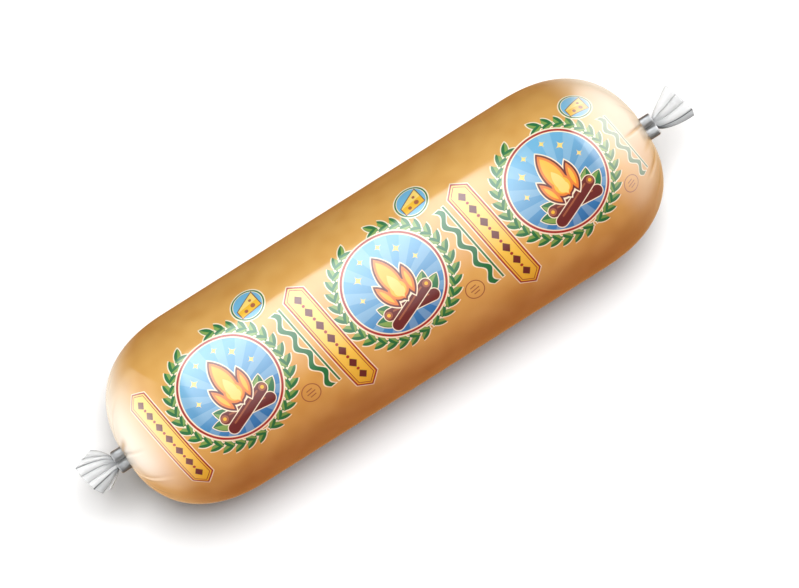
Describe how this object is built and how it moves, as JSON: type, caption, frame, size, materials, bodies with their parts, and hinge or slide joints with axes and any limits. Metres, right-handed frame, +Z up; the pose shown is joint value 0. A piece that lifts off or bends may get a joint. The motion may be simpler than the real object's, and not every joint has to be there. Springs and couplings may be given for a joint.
{
  "type": "smoked processed cheese",
  "caption": "Plump roll of smoked processed cheese in a tight printed film casing, gathered into folds and closed by crimped wire clips with fanned film tails.",
  "frame": {"origin": "on the floor under the middle of the roll, at the centre of the flat on its underside", "axes": "+X along the roll towards the end that is upper right in the picture, +Z up out of the printed front face, -Y towards the roll's lower side in the picture"},
  "size_m": [0.2727, 0.075, 0.0743],
  "materials": {
    "printed_film": "golden, smoke-tinted film pressed tight on the cheese, glossy, with a printed front and back",
    "clip_wire": "crimped soft wire with press marks, satin",
    "clear_film": "whitish clear film in flat pleats, glossy"
  },
  "bodies": {
    "root": {"cheese_roll": "printed_film", "clip_right": "clip_wire", "clip_left": "clip_wire", "film_tail_right": "clear_film", "film_tail_left": "clear_film"}
  },
  "joints": []
}
